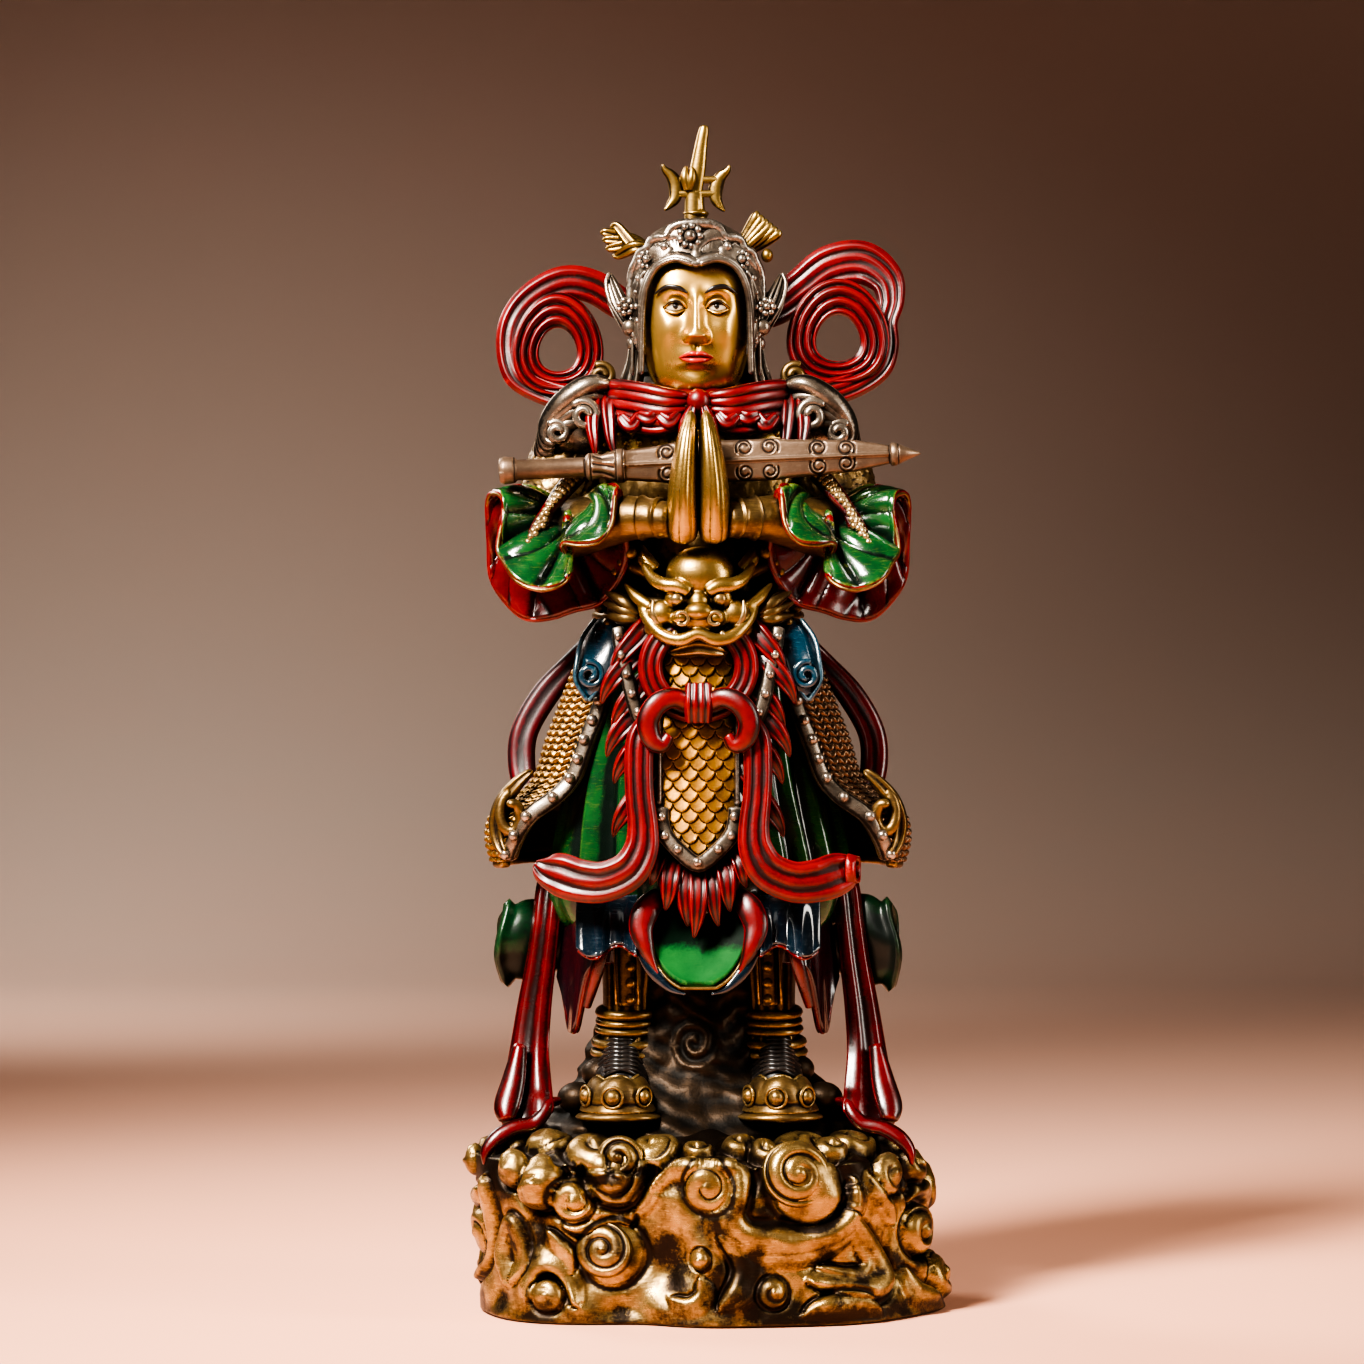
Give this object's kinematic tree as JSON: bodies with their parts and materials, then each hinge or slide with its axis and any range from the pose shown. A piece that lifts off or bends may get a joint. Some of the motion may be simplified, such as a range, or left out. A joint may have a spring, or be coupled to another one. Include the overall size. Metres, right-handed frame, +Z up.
{
  "type": "guardian statue",
  "caption": "Standing armoured guardian figure with joined hands, a sword laid across its forearms, ribbon loops and a cloud base; a display sculpture.",
  "frame": {"origin": "on the ground, at the middle of the cloud base", "axes": "+Z up, the figure faces -Y, +X is the viewer's right"},
  "size_m": [0.1728, 0.1312, 0.4197],
  "materials": {
    "statue": "cast bronze, gilt and enamel paint with dark patina in the recesses",
    "sword": "plain cast bronze, browned"
  },
  "bodies": {
    "root": {"statue": "statue", "sword": "sword"}
  },
  "joints": []
}
